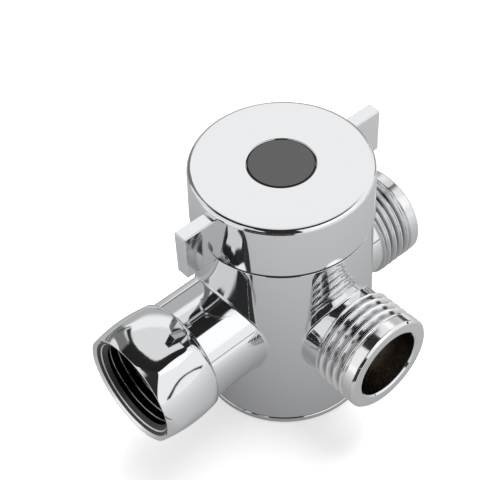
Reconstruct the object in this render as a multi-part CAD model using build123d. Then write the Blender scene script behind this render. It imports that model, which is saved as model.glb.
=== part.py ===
"""Three-way shower diverter valve with a turning knob and a swivel inlet nut, in millimetres.

The origin is the centre of the base, +Z runs up the body. The inlet faces -X, the far outlet +X and the
side outlet -Y. A hollow rotor with three windows turns inside the body and joins the inlet to one outlet
or to both. The knob sits on the rotor's head, and a stop pin lets it turn half a turn.
"""

import os
from math import acos, cos, pi, radians, sin

from build123d import *

# Body casting and the cap that closes it from below
body_base_radius = 18.9
body_top_radius = 18.1
body_top = 46.7
port_height = 24.8
body_edge = 0.3
root_fillet = 0.45
cap_rim = 1.8
cap_edge = 0.4
joint_line = 0.25
cap_shoulder = 1.5
cap_spigot_height = 6.2
cap_recess_radius = 8.0
cap_recess_depth = 3.0
spanner_hole_radius = 1.4
spanner_hole_depth = 1.5
spanner_hole_reach = 10.0

# Clearances
running_gap = 0.1
end_gap = 0.3
fit_gap = 0.05

# Pipe thread, nominal size one half
thread_crest_radius = 10.48
thread_root_radius = 9.32
thread_pitch = 1.814
thread_flat = 0.3
least_neck = 1.1

# Outlets
outlet_reach = 30.5
outlet_bore_radius = 7.5
outlet_bore_depth = 12.5
outlet_neck_radius = 9.8
nose_length = 2.7
nose_chamfer = 0.5
bore_chamfer = 0.35

# Inlet boss on the body
boss_radius = 11.15
boss_reach = 28.05
boss_bore_radius = 8.1
boss_bore_depth = 8.5
boss_edge = 0.2

# Inlet tail, the flanged tube that holds the nut
tail_bore_radius = 5.5
tail_flange_radius = 9.02
tail_flange = 1.4
tail_end_chamfer = 0.5

# Swivel nut
nut_reach = 41.25
nut_across_flats = 24.9
nut_crown_radius = 30.0
nut_barrel_radius = 13.3
nut_rim_radius = 11.85
nut_rim_slope = 2.6
nut_rim_width = 0.3
nut_back_step = 1.55
nut_shoulder_round = 6.0
nut_turn = 4.5
nut_lip = 1.8
nut_relief_radius = 10.5
nut_lead_in = 1.0
nut_mouth_chamfer = 0.9

# Washer in the nut
washer_radius = 9.0
washer_hole_radius = 5.6
washer_thickness = 2.0

# Rotor, its windows and its head
rotor_radius = 12.2
rotor_head_radius = 11.0
rotor_core_radius = 8.0
rotor_core_floor = 36.5
rotor_foot_core = 4.5
waterway_radius = 5.0
waterway_core_radius = 6.2
shoulder_height = 39.0
head_flat_depth = 1.1
pivot_radius = 3.0
pivot_length = 2.2
pivot_wall = 1.8

# Seats and washers
seat_radius = 7.2
seat_depth = 3.2
seat_edge = 0.3
seat_cushion = 1.1
thrust_washer = 0.7

# O-rings
ring_section = 1.8
ring_squeeze = 0.15
groove_play = 0.25
ring_round_share = 0.45
head_ring_heights = (41.5, 44.7)
tail_ring_reach = 22.6
cap_ring_height = 5.4

# Knob
knob_height = 12.0
knob_top_radius = 18.1
knob_bottom_radius = 18.4
knob_top_round = 1.0
knob_bottom_chamfer = 0.35
knob_skirt = 1.8
knob_crown = 2.4
knob_hub_wall = 2.0
fin_reach = 25.5
fin_thickness = 3.0
fin_drop = 1.7
fin_edge = 0.15
disc_radius = 6.6
disc_thickness = 1.1
disc_edge = 0.15

# Set screw of the knob and the stop pin
screw_radius = 1.0
screw_azimuth = 191.5
screw_height = 1.4
screw_set_back = 0.35
screw_socket_across = 0.9
screw_socket_depth = 1.2
screw_point = 0.35
stop_travel = 180.0
stop_pin_radius = 0.9
stop_pin_azimuth = 90.0
stop_pin_sunk = 4.5
stop_pin_stand = 3.4
stop_pin_bevel = 0.3
stop_play = 0.2

# Sizes that follow from the driving ones
chamber_radius = rotor_radius + running_gap
cap_spigot_radius = chamber_radius + cap_shoulder
knob_bottom = body_top + end_gap
knob_top = knob_bottom + knob_height
nut_back = boss_reach + end_gap
flange_back = nut_back + nut_lip + end_gap
flange_front = flange_back + tail_flange
washer_front = flange_front + washer_thickness
seat_back = chamber_radius + seat_depth
outlet_bore_floor = outlet_reach - outlet_bore_depth
tail_back = boss_reach - boss_bore_depth
nose_back = outlet_reach - nose_length
thread_grooves = int((nose_back - body_base_radius - least_neck) / thread_pitch)
cap_spigot_top = cap_rim + cap_spigot_height
cap_well_top = cap_spigot_top + end_gap
rotor_bottom = cap_spigot_top + thrust_washer + running_gap
rotor_shoulder = shoulder_height - running_gap
lip_bottom = shoulder_height + thrust_washer
lip_radius = rotor_head_radius + running_gap
head_top = knob_top - knob_crown - end_gap
hub_radius = rotor_head_radius + knob_hub_wall
skirt_radius = knob_top_radius - knob_skirt
head_flat = rotor_head_radius - head_flat_depth
screw_outer = knob_bottom_radius - screw_set_back
stop_radius = (hub_radius + skirt_radius) / 2
port_plane = Plane(origin=(0, 0, port_height), x_dir=(1, 0, 0), z_dir=(0, 0, 1))
inlet_plane = Plane(origin=port_plane.origin, x_dir=(0, -1, 0), z_dir=(-1, 0, 0))
far_plane = Plane(origin=port_plane.origin, x_dir=(0, 1, 0), z_dir=(1, 0, 0))
side_plane = Plane(origin=port_plane.origin, x_dir=(1, 0, 0), z_dir=(0, -1, 0))


def drum(radius, low, high):
    """A plain cylinder on the Z axis between two heights."""
    return Pos(0, 0, low) * Cylinder(radius, high - low, align=(Align.CENTER, Align.CENTER, Align.MIN))


def tube(outer, inner, low, high):
    """A plain tube on the Z axis between two heights."""
    return drum(outer, low, high) - drum(inner, low, high)


def turned(*points):
    """A solid of revolution about Z from its half outline, given as radius and height."""
    outline = Polyline(*points, close=True)
    return revolve(Plane.XZ * make_face(outline), Axis.Z)


def past_the_flat(distance, low, high):
    """A block that fills the space past the set screw's flat, from a distance off the Z axis outwards."""
    block = Box(fin_reach, 2 * fin_reach, high - low, align=(Align.MIN, Align.CENTER, Align.MIN))
    return Rot(0, 0, screw_azimuth) * Pos(distance, 0, low) * block


def hexagon_bar(across, low, high):
    """A six-sided bar on the Z axis."""
    profile = RegularPolygon(across / 2, 6, major_radius=False)
    return Pos(0, 0, low) * extrude(profile, high - low)


def squeezed_ring(outer_radius, inner_radius, low, high):
    """A rubber ring about Z whose round section is flattened where it is squeezed."""
    width = outer_radius - inner_radius
    height = high - low
    section = RectangleRounded(width, height, ring_round_share * min(width, height))
    middle = Pos((outer_radius + inner_radius) / 2, (low + high) / 2)
    return revolve(Plane.XZ * (middle * section), Axis.Z)


def o_ring(outer_radius, floor_radius, height):
    """A squeezed O-ring that fills the depth of its groove, centred on a height."""
    return squeezed_ring(outer_radius, floor_radius, height - ring_section / 2, height + ring_section / 2)


def ring_groove(outer_radius, floor_radius, height):
    """The cutter of an O-ring groove, a little wider than the ring."""
    half = ring_section / 2 + groove_play
    return tube(outer_radius + ring_section, floor_radius, height - half, height + half)


def groove_floor(wall_radius):
    """The floor of a groove whose ring seals against a wall of this radius."""
    return wall_radius - ring_section + ring_squeeze


def body_radius(height):
    """Radius of the tapered body wall at a height."""
    share = (height - cap_rim) / (body_top - cap_rim)
    return body_base_radius + share * (body_top_radius - body_base_radius)


def body_barrel():
    """The tapered upright barrel of the body, with its small edge bevels."""
    return turned(
        (0, cap_rim),
        (body_base_radius - joint_line, cap_rim),
        (body_radius(cap_rim + joint_line), cap_rim + joint_line),
        (body_radius(body_top - body_edge), body_top - body_edge),
        (body_top_radius - body_edge, body_top),
        (0, body_top),
    )


def thread_outline():
    """Half outline of the threaded outlet from its neck to its nose: one trapezoid groove per turn."""
    depth = thread_crest_radius - thread_root_radius
    flank = (thread_pitch - 2 * thread_flat) / 2
    points = []
    reach = nose_back
    for _ in range(thread_grooves):
        points.append((thread_crest_radius, reach))
        points.append((thread_root_radius, reach - flank))
        points.append((thread_root_radius, reach - flank - thread_flat))
        reach -= thread_pitch
        points.append((thread_crest_radius, reach + thread_flat))
    runout = reach - (thread_crest_radius - outlet_neck_radius) * flank / depth
    points.append((thread_crest_radius, reach))
    points.append((outlet_neck_radius, runout))
    return points[::-1]


def outlet_spout():
    """A threaded outlet along Z from the body's axis: neck, thread and bevelled nose."""
    return turned(
        (0, 0),
        (outlet_neck_radius, 0),
        *thread_outline(),
        (thread_crest_radius, outlet_reach - nose_chamfer),
        (thread_crest_radius - nose_chamfer, outlet_reach),
        (0, outlet_reach),
    )


def inlet_boss():
    """The smooth inlet boss along Z from the body's axis."""
    return turned(
        (0, 0),
        (boss_radius, 0),
        (boss_radius, boss_reach - boss_edge),
        (boss_radius - boss_edge, boss_reach),
        (0, boss_reach),
    )


def outlet_cut():
    """The water space of an outlet: seat pocket, waterway, bore and bevelled mouth."""
    cut = drum(seat_radius, 0, seat_back) + drum(waterway_radius, 0, outlet_bore_floor + fit_gap)
    mouth = turned(
        (0, outlet_bore_floor),
        (outlet_bore_radius, outlet_bore_floor),
        (outlet_bore_radius, outlet_reach - bore_chamfer),
        (outlet_bore_radius + bore_chamfer, outlet_reach),
        (outlet_bore_radius + bore_chamfer, outlet_reach + bore_chamfer),
        (0, outlet_reach + bore_chamfer),
    )
    return cut + mouth


def inlet_cut():
    """The water space of the inlet: seat pocket, waterway and the socket that holds the tail."""
    cut = drum(seat_radius, 0, seat_back) + drum(waterway_radius, 0, tail_back + fit_gap)
    return cut + drum(boss_bore_radius + fit_gap, tail_back, boss_reach + fit_gap)


def valve_body():
    """The cast body: barrel, boss and two spouts with rounded roots, bored out for rotor and water."""
    barrel = body_barrel()
    ports = [inlet_plane * inlet_boss(), far_plane * outlet_spout(), side_plane * outlet_spout()]
    outside = barrel + ports
    roots = new_edges(barrel, *ports, combined=outside)
    outside = fillet(roots, root_fillet)
    chamber = drum(chamber_radius, 0, lip_bottom) + drum(lip_radius, 0, body_top + end_gap)
    well = drum(cap_spigot_radius + fit_gap, 0, cap_well_top)
    pin_radius = stop_pin_radius + fit_gap / 2
    pin_hole = drum(pin_radius, body_top - stop_pin_sunk, body_top + end_gap)
    cuts = [chamber, well, stop_place() * pin_hole]
    cuts += [inlet_plane * inlet_cut(), far_plane * outlet_cut(), side_plane * outlet_cut()]
    return outside - cuts


def stop_place():
    """Where the stop pin stands on the body's top face."""
    angle = radians(stop_pin_azimuth)
    return Pos(stop_radius * cos(angle), stop_radius * sin(angle), 0)


def stop_pin():
    """The stop pin, pressed into the body's top face, with a bevelled end."""
    top = body_top + stop_pin_stand
    pin = turned(
        (0, body_top - stop_pin_sunk),
        (stop_pin_radius, body_top - stop_pin_sunk),
        (stop_pin_radius, top - stop_pin_bevel),
        (stop_pin_radius - stop_pin_bevel, top),
        (0, top),
    )
    return stop_place() * pin


def base_cap():
    """The cap that closes the body from below: visible rim, grooved spigot, pivot hole, spanner holes."""
    cap = turned(
        (0, 0),
        (body_base_radius - cap_edge, 0),
        (body_base_radius, cap_edge),
        (body_base_radius, cap_rim - joint_line),
        (body_base_radius - joint_line, cap_rim),
        (cap_spigot_radius, cap_rim),
        (cap_spigot_radius, cap_spigot_top),
        (0, cap_spigot_top),
    )
    cap -= ring_groove(cap_spigot_radius, groove_floor(cap_spigot_radius), cap_ring_height)
    pivot_hole = pivot_radius + running_gap
    cap -= tube(cap_recess_radius, pivot_hole + pivot_wall, cap_spigot_top - cap_recess_depth, cap_well_top)
    cap -= drum(pivot_hole, cap_spigot_top - pivot_length, cap_well_top)
    spanner_hole = drum(spanner_hole_radius, -cap_edge, spanner_hole_depth)
    return cap - [Pos(0, side * spanner_hole_reach, 0) * spanner_hole for side in (-1, 1)]


def rotor():
    """The rotor: barrel with three windows, cored inside, and a head with two ring grooves and a flat."""
    body = turned(
        (0, rotor_bottom - pivot_length),
        (pivot_radius, rotor_bottom - pivot_length),
        (pivot_radius, rotor_bottom),
        (rotor_radius, rotor_bottom),
        (rotor_radius, rotor_shoulder),
        (rotor_head_radius, rotor_shoulder),
        (rotor_head_radius, head_top),
        (0, head_top),
    )
    window = drum(waterway_radius, 0, rotor_radius + running_gap)
    windows = [inlet_plane * window, far_plane * window, side_plane * (Rot(0, 180, 0) * window)]
    core = Pos(0, 0, port_height) * Sphere(waterway_core_radius)
    foot_core_top = rotor_bottom + rotor_foot_core
    top_core = drum(rotor_core_radius, rotor_core_floor, head_top + end_gap)
    foot_core = tube(rotor_core_radius, pivot_radius + pivot_wall, rotor_bottom - end_gap, foot_core_top)
    grooves = [ring_groove(rotor_head_radius, groove_floor(lip_radius), z) for z in head_ring_heights]
    flat = past_the_flat(head_flat, body_top + end_gap / 2, knob_top)
    return body - [*windows, core, top_core, foot_core, *grooves, flat]


def lower_thrust_washer():
    """The flat washer between the base cap's spigot and the rotor."""
    outer = rotor_radius - end_gap
    inner = rotor_core_radius + end_gap
    return tube(outer, inner, cap_spigot_top, cap_spigot_top + thrust_washer)


def seat_ring(plane):
    """A seat ring in a port's pocket, its inner face hollowed to the rotor."""
    back = seat_back - seat_cushion
    ring = tube(seat_radius - fit_gap, waterway_radius, rotor_radius / 2, back)
    bevel = tube(seat_radius, seat_radius - seat_edge, back - seat_edge, back)
    return plane * (ring - bevel) - drum(chamber_radius - fit_gap, 0, body_top)


def seat_o_ring(plane):
    """The squeezed O-ring that presses a seat ring from behind against the rotor."""
    front = seat_back - seat_cushion
    return plane * squeezed_ring(seat_radius - fit_gap, waterway_radius + fit_gap, front, seat_back)


def tail():
    """The inlet tail: a flanged tube screwed into the boss, grooved for its O-ring."""
    shape = turned(
        (tail_bore_radius, tail_back),
        (boss_bore_radius - tail_end_chamfer, tail_back),
        (boss_bore_radius, tail_back + tail_end_chamfer),
        (boss_bore_radius, flange_back),
        (tail_flange_radius, flange_back),
        (tail_flange_radius, flange_front),
        (tail_bore_radius, flange_front),
    )
    return shape - ring_groove(boss_bore_radius, groove_floor(boss_bore_radius), tail_ring_reach)


def tail_o_ring():
    """The O-ring that seals the tail in the boss."""
    return o_ring(boss_bore_radius, groove_floor(boss_bore_radius), tail_ring_reach)


def nut_barrel():
    """The turned form of the nut before its flats: round back shoulder, sloping front and thin rim."""
    back_radius = nut_barrel_radius - nut_back_step
    sweep = acos(1 - nut_back_step / nut_shoulder_round)
    shoulder_end = nut_back + nut_shoulder_round * sin(sweep)
    arc_radius = nut_barrel_radius - nut_shoulder_round * (1 - cos(sweep / 2))
    arc_reach = shoulder_end - nut_shoulder_round * sin(sweep / 2)
    with BuildSketch(Plane.XZ) as outline:
        with BuildLine():
            Polyline((0, nut_reach), (0, nut_back), (back_radius, nut_back))
            ThreePointArc(
                (back_radius, nut_back),
                (arc_radius, arc_reach),
                (nut_barrel_radius, shoulder_end),
            )
            Polyline(
                (nut_barrel_radius, shoulder_end),
                (nut_barrel_radius, nut_reach - nut_rim_slope),
                (nut_rim_radius, nut_reach),
                (0, nut_reach),
            )
        make_face()
    return revolve(outline.sketch, Axis.Z)


def crowned_flats(form):
    """A turned form with six flats, each crowned as part of a large ball at the middle of its length."""
    ball = Sphere(nut_crown_radius)
    offset = nut_across_flats / 2 - nut_crown_radius
    middle = (nut_back + nut_reach) / 2
    for step in range(6):
        form &= Rot(0, 0, 90 + 60 * step) * Pos(offset, 0, middle) * ball
    return form


def nut_bore():
    """The hollow of the nut: hole for the tail, relief for flange and washer, thread and wide mouth."""
    thread_back = nut_back + nut_lip
    relief_front = washer_front + end_gap
    mouth_floor = nut_reach - nut_mouth_chamfer
    mouth_radius = nut_rim_radius - nut_rim_width
    return turned(
        (0, nut_back - end_gap),
        (boss_bore_radius + end_gap, nut_back - end_gap),
        (boss_bore_radius + end_gap, thread_back),
        (nut_relief_radius, thread_back),
        (nut_relief_radius, relief_front),
        (thread_root_radius, relief_front),
        (thread_root_radius, mouth_floor - nut_lead_in),
        (thread_root_radius + nut_lead_in, mouth_floor),
        (mouth_radius, nut_reach),
        (mouth_radius, nut_reach + end_gap),
        (0, nut_reach + end_gap),
    )


def swivel_nut():
    """The six-sided swivel nut: a turned barrel with six flats, bored, and resting a little turned."""
    return Rot(0, 0, -nut_turn) * (crowned_flats(nut_barrel()) - nut_bore())


def knob_shell():
    """The turned outside of the knob: slightly flared skirt, rounded top edge, bevelled lower edge."""
    shell = turned(
        (0, knob_bottom),
        (knob_bottom_radius - knob_bottom_chamfer, knob_bottom),
        (knob_bottom_radius, knob_bottom + knob_bottom_chamfer),
        (knob_top_radius, knob_top),
        (0, knob_top),
    )
    rim = shell.edges().filter_by(GeomType.CIRCLE).sort_by(Axis.Z)[-1]
    return fillet(rim, knob_top_round)


def fins():
    """The two grip fins, one over the inlet and one over the far outlet."""
    height = knob_height - fin_drop
    bar = Box(2 * fin_reach, fin_thickness, height)
    bar = chamfer(bar.edges(), fin_edge)
    return Pos(0, 0, knob_bottom + height / 2) * bar - drum(hub_radius, 0, knob_top)


def stop_sector():
    """The solid part of the ring between hub and skirt, whose two ends meet the stop pin."""
    half_pin = (stop_pin_radius + stop_play) / stop_radius * 180 / pi
    start = stop_pin_azimuth + half_pin
    sweep = 360 - stop_travel - 2 * half_pin
    section = Polyline(
        (hub_radius - fit_gap, knob_bottom),
        (skirt_radius + fit_gap, knob_bottom),
        (skirt_radius + fit_gap, knob_top - knob_crown),
        (hub_radius - fit_gap, knob_top - knob_crown),
        close=True,
    )
    return Rot(0, 0, start) * revolve(Plane.XZ * make_face(section), Axis.Z, sweep)


def screw_place(reach):
    """Where the set screw's axis lies, at a distance out from the Z axis, pointing outwards."""
    angle = radians(screw_azimuth)
    out = Vector(cos(angle), sin(angle), 0)
    origin = out * reach + Vector(0, 0, knob_bottom + screw_height)
    return Plane(origin=origin, x_dir=(0, 0, 1), z_dir=out)


def knob():
    """The cast knob: skirt, crown, hub with a flat, two fins, stop sector, disc recess and screw hole."""
    hollow = drum(skirt_radius, knob_bottom, knob_top - knob_crown)
    hub = drum(hub_radius, knob_bottom, knob_top - knob_crown)
    socket = drum(rotor_head_radius + fit_gap, knob_bottom, knob_top - knob_crown)
    socket -= past_the_flat(head_flat + fit_gap, knob_bottom, knob_top)
    recess = drum(disc_radius + fit_gap, knob_top - disc_thickness, knob_top + end_gap)
    hole = screw_place(head_flat) * drum(screw_radius, 0, fin_reach - head_flat)
    shape = knob_shell() + fins()
    shape = shape - hollow + hub + stop_sector()
    return shape - [socket, recess, hole]


def index_disc():
    """The plain dark disc let into the knob's top, with a fine bevelled edge."""
    low = knob_top - disc_thickness
    return turned(
        (0, low),
        (disc_radius, low),
        (disc_radius, knob_top - disc_edge),
        (disc_radius - disc_edge, knob_top),
        (0, knob_top),
    )


def set_screw():
    """The headless set screw with a hexagon socket, pressing on the flat of the rotor's head."""
    length = screw_outer - head_flat
    thread = screw_radius - fit_gap / 2
    screw = turned(
        (0, 0),
        (thread - screw_point, 0),
        (thread, screw_point),
        (thread, length),
        (0, length),
    )
    screw -= hexagon_bar(screw_socket_across, length - screw_socket_depth, length + end_gap)
    return screw_place(head_flat) * screw


def inlet_washer():
    """The rubber washer that seats on the tail's flange inside the nut."""
    return tube(washer_radius, washer_hole_radius, flange_front, washer_front)


def subparts():
    """Every piece by its node name."""
    upper_low, upper_high = head_ring_heights
    return {
        "valve_body": valve_body(),
        "base_cap": base_cap(),
        "base_cap_o_ring": o_ring(cap_spigot_radius, groove_floor(cap_spigot_radius), cap_ring_height),
        "stop_pin": stop_pin(),
        "inlet_seat_ring": seat_ring(inlet_plane),
        "far_seat_ring": seat_ring(far_plane),
        "side_seat_ring": seat_ring(side_plane),
        "inlet_seat_o_ring": seat_o_ring(inlet_plane),
        "far_seat_o_ring": seat_o_ring(far_plane),
        "side_seat_o_ring": seat_o_ring(side_plane),
        "lower_thrust_washer": lower_thrust_washer(),
        "upper_thrust_washer": tube(rotor_radius, lip_radius, shoulder_height, lip_bottom),
        "inlet_tail": inlet_plane * tail(),
        "tail_o_ring": inlet_plane * tail_o_ring(),
        "inlet_washer": inlet_plane * inlet_washer(),
        "swivel_nut": inlet_plane * swivel_nut(),
        "rotor": rotor(),
        "lower_head_o_ring": o_ring(lip_radius - fit_gap, groove_floor(lip_radius), upper_low),
        "upper_head_o_ring": o_ring(lip_radius - fit_gap, groove_floor(lip_radius), upper_high),
        "knob": knob(),
        "index_disc": index_disc(),
        "knob_set_screw": set_screw(),
    }


os.makedirs("parts", exist_ok=True)
for node, shape in subparts().items():
    export_step(shape, f"parts/{node}.step")
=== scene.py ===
"""Looks of the shower diverter valve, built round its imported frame.

Lengths in this file are millimetres, and MM turns them into metres where a mesh, a lamp, the camera or a
texture takes them. The visible pieces are surfaces worked out from formulas, each point with its own true
normal, because chrome shows every facet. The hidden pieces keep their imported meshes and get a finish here.
"""

import bpy
import numpy as np
from mathutils import Matrix


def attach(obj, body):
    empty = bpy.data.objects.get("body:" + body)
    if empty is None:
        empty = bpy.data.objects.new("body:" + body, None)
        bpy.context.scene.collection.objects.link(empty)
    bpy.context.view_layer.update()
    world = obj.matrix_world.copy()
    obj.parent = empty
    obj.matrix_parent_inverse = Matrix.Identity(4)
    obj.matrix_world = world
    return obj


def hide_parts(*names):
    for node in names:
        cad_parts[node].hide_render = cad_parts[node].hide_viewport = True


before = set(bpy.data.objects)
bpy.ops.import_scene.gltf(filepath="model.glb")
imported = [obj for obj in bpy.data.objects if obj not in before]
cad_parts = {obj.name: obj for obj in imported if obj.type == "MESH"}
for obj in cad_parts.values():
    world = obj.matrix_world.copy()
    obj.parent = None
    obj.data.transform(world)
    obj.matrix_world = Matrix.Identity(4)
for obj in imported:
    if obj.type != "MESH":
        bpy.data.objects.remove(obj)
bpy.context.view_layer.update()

MM = 0.001
TURN = 2 * np.pi
TINY = 1e-9

# Body
PORT_HEIGHT = 24.8
BASE_RADIUS = 18.9
TOP_RADIUS = 18.1
BODY_TOP = 46.7
BODY_EDGE = 0.3
BRIGHT_EDGE = 0.04
ROOT_FILLET = 0.45
CHAMBER_RADIUS = 12.3
CHAMBER_FLOOR = 8.3
CHAMBER_ROOF = 39.7
LIP_RADIUS = 11.1
WELL_RADIUS = 13.85

# Base cap
CAP_RIM = 1.8
CAP_EDGE = 0.4
CAP_FLAT = BASE_RADIUS - CAP_EDGE - 0.1
JOINT_LINE = 0.25
PLUG_RADIUS = 13.8
PLUG_TOP = 8.0
SPANNER_HOLE = 1.4
SPANNER_DEPTH = 1.5
SPANNER_REACH = 10.0

# Where the barrel meets its edges, and how its radius changes with height
WALL_LOW = CAP_RIM + JOINT_LINE
WALL_HIGH = BODY_TOP - BODY_EDGE
BODY_SLOPE = (TOP_RADIUS - BASE_RADIUS) / (BODY_TOP - CAP_RIM)

# Ports
BOSS_RADIUS = 11.15
BOSS_REACH = 28.05
BOSS_START = BOSS_REACH - 0.3
BOSS_EDGE = 0.2
BOSS_BORE = 8.15
TAIL_BACK = 19.55
NECK_RADIUS = 9.8
NECK_END = 19.6
SEAT_RADIUS = 7.2
SEAT_BACK = 15.5
WATERWAY_RADIUS = 5.0
BORE_RADIUS = 7.5
BORE_FLOOR = 18.0
BORE_BEVEL = 0.35
PLATED_BORE = 0.6
OUTLET_REACH = 30.5
NOSE_START = 29.9
NOSE_BEVEL = 0.5

# Pipe thread, and where along the outlet it comes and goes
CREST_RADIUS = 10.48
ROOT_RADIUS = 9.32
PITCH = 1.814
THREAD_FLAT = 0.3
THREAD_SOFT = 0.2
THREAD_DATUM = 27.8
THREAD_END = 28.0
NECK_RISE = (19.9, 20.35)
THREAD_IN = (20.2, 20.9)
THREAD_OUT = (27.3, 27.9)
THREAD_ROWS = 76

# How far outside a thread's inner radius its colour, the painted highlight and shade, reaches the outer one
OUTLET_SHADE = 0.75
NUT_SHADE = 0.12

# Swivel nut
NUT_BACK = 28.35
NUT_REACH = 41.25
NUT_RADIUS = 13.3
NUT_FLATS = 24.9
NUT_CROWN = 30.0
NUT_TURN = np.radians(4.5)
NUT_BACK_STEP = 1.55
NUT_SHOULDER = 6.0
NUT_SHOULDER_END = NUT_BACK + np.sqrt(NUT_BACK_STEP * (2 * NUT_SHOULDER - NUT_BACK_STEP))
NUT_BACK_RING = NUT_RADIUS - NUT_BACK_STEP - 0.4
NUT_RIM = 11.85
NUT_RIM_START = 38.65
NUT_RIM_ROUND = 1.6
NUT_RIM_EDGE = 0.14
NUT_FACE = NUT_RIM - 0.2
NUT_MOUTH = 11.55
NUT_MOUTH_FLOOR = 40.35
NUT_LEAD = 10.32
NUT_LEAD_EDGE = 0.2
NUT_THREAD_END = 39.35
NUT_GROOVE = 0.95
NUT_HOLE = 8.4
RELIEF_RADIUS = 10.5
RELIEF_BACK = 30.15
RELIEF_FRONT = 34.15
NUT_SOFT_ENDS = 0.02
NUT_SOFT_MIDDLE = 0.09
NUT_SOFT_REACH = 1.2
NUT_AROUND = 288
NUT_STEP = 0.3
OUT_OF_REACH = 99.0

# Washer in the nut
WASHER_RADIUS = 9.0
WASHER_HOLE = 5.6
WASHER_BACK = 31.85
WASHER_FRONT = 33.85

# Knob and its disc
KNOB_BOTTOM = 47.0
KNOB_BEVEL = 0.35
KNOB_BEVEL_TOP = KNOB_BOTTOM + KNOB_BEVEL
KNOB_TOP = 59.0
KNOB_TOP_RADIUS = 18.1
KNOB_BOTTOM_RADIUS = 18.4
KNOB_SLOPE = (KNOB_TOP_RADIUS - KNOB_BOTTOM_RADIUS) / (KNOB_TOP - KNOB_BEVEL_TOP)
KNOB_ROUND = 1.0
KNOB_CROWN = 56.6
SKIRT_RADIUS = 16.2
HUB_RADIUS = 13.0
SOCKET_RADIUS = 11.05
RECESS_RADIUS = 6.65
RECESS_ROUND = 0.3
RECESS_FLOOR = 57.9
DISC_RADIUS = 6.6
DISC_BEVEL = (0.25, 0.15)

# Fins and set screw
FIN_ROOT = 12.9
FIN_REACH = 25.5
FIN_THICKNESS = 3.0
FIN_TOP = 57.3
FIN_EDGE = 0.22
SCREW_AZIMUTH = np.radians(191.5)
SCREW_HEIGHT = 48.4
SCREW_HOLE = 1.0
SCREW_HOLE_FLOOR = 16.6

# Azimuth of each port, and half the width of the windows that the walls are drawn in
PORTS = {"inlet": np.pi, "far": 0.0, "side": -np.pi / 2}
PORT_WINDOW = np.pi / 4
SCREW_WINDOW = 0.3

# Studio
CARD_DISTANCE = 700.0
CARD_CENTRE = 30.0
# Where the painted shadow round the object on the mirrored floor is darkest, and how widely it spreads
FLOOR_DARKEST = (-5.0, 10.0)
FLOOR_DIM = 56.0
FLOOR_HALF = 3000.0
FLOOR_GLOW = 0.44
LAMP_PLACE = (200.0, 60.0, 600.0)
LAMP_SIZE = 500.0
LAMP_POWER = 4.0
DAYLIGHT = 0.55

# Camera, solved from the outlines in the photo
SENSOR = 36.0
LENS = 93.75
VIEW_NEAR = 10.0
VIEW_FAR = 20000.0
EYE = (-115.49108834, -126.90167645, 223.59295014)
EYE_RIGHT = (0.74484539, -0.66612928, -0.03843341)
EYE_UP = (0.50948599, 0.53060758, 0.67740654)

# Outlines and surfaces


def unit(vectors):
    """Vectors divided by their own length."""
    return vectors / np.linalg.norm(vectors, axis=-1, keepdims=True)


def outline(corners, steps=5):
    """A half outline and its outward normals, from corners given as radius, height and round, in order with
    the material on the left. Each corner is cut back along both its sides by round * tan(turn / 2). An arc
    joins the cuts: first cut + round * (n - m) in a left turn and first cut - round * (n - m) in a right one,
    where n turns evenly from the first side's normal m to the second side's."""
    corner = np.array(corners, float)
    place, size = corner[:, :2], corner[:, 2]
    side = unit(np.diff(place, axis=0))
    normal = np.stack([side[:, 1], -side[:, 0]], 1)
    points, normals = [place[:1]], [normal[:1]]
    for here, before, after, radius in zip(place[1:-1], range(len(side)), range(1, len(side)), size[1:-1]):
        cross = side[before, 0] * side[after, 1] - side[before, 1] * side[after, 0]
        turn = np.arctan2(cross, side[before] @ side[after])
        share = turn * np.linspace(0, 1, 2 if radius == 0 else steps + 1)[:, None]
        bent = np.cos(share) * normal[before] + np.sin(share) * side[before]
        cut = here - side[before] * radius * np.tan(abs(turn) / 2)
        points.append(cut + np.sign(turn) * radius * (bent - normal[before]))
        normals.append(bent)
    points.append(place[-1:])
    normals.append(normal[-1:])
    return np.concatenate(points), np.concatenate(normals)


def turned(corners, turns, steps=5):
    """The surface of a half outline turned about an axis, (r cos t, r sin t, h), with the outline's normal
    turned in the same way."""
    around = np.stack([np.cos(turns), np.sin(turns)], -1)

    def swept(pairs):
        """Pairs of radius and height turned through every angle."""
        level = pairs[:, None, :1] * around
        height = np.broadcast_to(pairs[:, None, 1:], (*level.shape[:2], 1))
        return np.concatenate([level, height], -1)

    points, normals = outline(corners, steps)
    return swept(points), swept(normals)


def full_turn(count):
    """Angles all the way round, the last on the first."""
    return np.linspace(0, TURN, count + 1)


def spread(*stretches):
    """Numbers along the given stretches, each (start, end, steps) divided evenly."""
    numbers = [np.linspace(low, high, steps + 1) for low, high, steps in stretches]
    return np.unique(np.concatenate(numbers).round(12))


def ease(value, low, high):
    """A smooth step from 0 at low to 1 at high: s^2 (3 - 2 s) of the share s of the way between them."""
    share = np.clip((value - low) / (high - low), 0, 1)
    return share * share * (3 - 2 * share)


def faced(patch, azimuth, height=PORT_HEIGHT):
    """A patch given across, up and out from the Z axis, turned to an azimuth and lifted to a height."""
    across = (-np.sin(azimuth), np.cos(azimuth), 0)
    out = (np.cos(azimuth), np.sin(azimuth), 0)
    axes = np.array([across, (0, 0, 1), out])
    points, normals = patch[:2]
    return (points @ axes + (0, 0, height), normals @ axes, *patch[2:])


def height_field(radius_at, turns, reach):
    """The surface (r cos t, r sin t, h) whose radius r depends on the turn t and the reach h, with normals
    from the cross product of a small step round it and a small step along it."""
    step = 0.02

    def place(turn, along):
        """The surface's points at turns and reaches."""
        radius = radius_at(turn, along)
        return np.stack([radius * np.cos(turn), radius * np.sin(turn), along], -1)

    around = place(turns + step / 10, reach) - place(turns - step / 10, reach)
    outwards = place(turns, reach + step) - place(turns, reach - step)
    return place(turns, reach), unit(np.cross(around, outwards))


# Round walls with holes

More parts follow.
